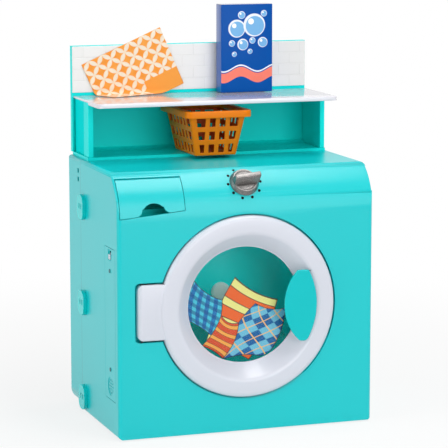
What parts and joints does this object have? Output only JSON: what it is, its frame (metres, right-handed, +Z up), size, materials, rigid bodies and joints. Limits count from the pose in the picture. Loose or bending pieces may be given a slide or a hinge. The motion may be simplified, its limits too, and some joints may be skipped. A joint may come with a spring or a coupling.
{
  "type": "toy washing machine",
  "caption": "Free-standing toy front-loading washer with glazed hinged door, turning drum, knob, detergent flap and an open shelf unit with basket, box and sheet on top.",
  "frame": {"origin": "middle of the footprint at floor level", "axes": "+Z up, -Y out of the door side, +X to the viewer's right when facing the door"},
  "size_m": [0.412, 0.2804, 0.6228],
  "materials": {
    "teal_shell": "gloss",
    "lilac_shell": "gloss",
    "white_shelf": "gloss",
    "white_tile": "satin",
    "clear_window": "clear",
    "print": "printed",
    "silver_knob": "metallic gloss",
    "black_print": "printed",
    "orange_plastic": "satin",
    "blue_box": "satin",
    "sheet": "printed",
    "steel": "bright",
    "inner_plastic": "matte",
    "bearing_plastic": "matte",
    "grey_plastic": "matte",
    "foot_rubber": "matte",
    "battery": "gloss",
    "board": "satin",
    "wire": "satin"
  },
  "bodies": {
    "machine": {"front_casing": "teal_shell", "back_casing": "teal_shell", "casing_clips": "teal_shell", "casing_screws": "steel", "feet": "foot_rubber", "drum_bearing": "bearing_plastic", "drum_bulkhead": "grey_plastic", "bulkhead_screws": "steel", "latch_catch": "inner_plastic", "hinge_pin": "inner_plastic", "rotary_switch": "inner_plastic", "dial_dots": "black_print", "flap_pin": "steel", "detergent_tray": "teal_shell", "side_cover": "teal_shell", "cover_screws": "steel", "electronics_tray": "inner_plastic", "switch_body": "inner_plastic", "batteries": "battery", "battery_contacts": "steel", "circuit_board": "board", "speaker": "inner_plastic", "speaker_wires": "wire", "hutch_base": "teal_shell", "hutch_left_side": "teal_shell", "hutch_right_side": "teal_shell", "hutch_back": "teal_shell", "shelf_top": "white_shelf", "backsplash_panel": "teal_shell", "backsplash_tiles": "white_tile", "hutch_screws": "steel"},
    "drum": {"drum": "teal_shell", "drum_hub_cap": "lilac_shell", "drum_axle": "steel", "axle_clip": "inner_plastic"},
    "door": {"door_ring": "lilac_shell", "door_liner": "lilac_shell", "door_window": "clear_window", "laundry_print": "print", "door_handle": "teal_shell", "liner_screws": "steel", "door_latch": "lilac_shell"},
    "knob": {"control_knob": "silver_knob", "knob_shaft": "steel"},
    "flap": {"detergent_flap": "teal_shell"},
    "switch": {"power_switch": "lilac_shell"},
    "basket": {"laundry_basket": "orange_plastic"},
    "box": {"detergent_box": "blue_box", "detergent_box_base": "blue_box"},
    "sheet": {"dryer_sheet": "sheet"}
  },
  "joints": [
    {"name": "door_hinge", "type": "hinge", "parent": "machine", "child": "door", "pos_m": [-0.163, -0.12575, 0.19], "axis": [0, 0, -1], "range_deg": [0, 105]},
    {"name": "drum_spin", "type": "hinge", "parent": "machine", "child": "drum", "pos_m": [0, -0.05075, 0.19], "axis": [0, 1, 0], "continuous": true},
    {"name": "knob_turn", "type": "hinge", "parent": "machine", "child": "knob", "pos_m": [0, -0.05075, 0.32472], "axis": [0, -0.788, 0.6157], "range_deg": [-245, 0]},
    {"name": "flap_hinge", "type": "hinge", "parent": "machine", "child": "flap", "pos_m": [-0.1465, -0.103, 0.38128], "axis": [-1, 0, 0], "range_deg": [0, 80]},
    {"name": "switch_slide", "type": "slide", "parent": "machine", "child": "switch", "axis": [0, 0, 1], "range_m": [0, 0.005]},
    {"name": "basket_slide", "type": "slide", "parent": "machine", "child": "basket", "axis": [0, -1, 0], "range_m": [0, 0.28]},
    {"name": "box_lift", "type": "slide", "parent": "machine", "child": "box", "axis": [0, 0, 1], "range_m": [0, 0.16]},
    {"name": "sheet_lift", "type": "slide", "parent": "machine", "child": "sheet", "axis": [0, 0, 1], "range_m": [0, 0.12]}
  ]
}
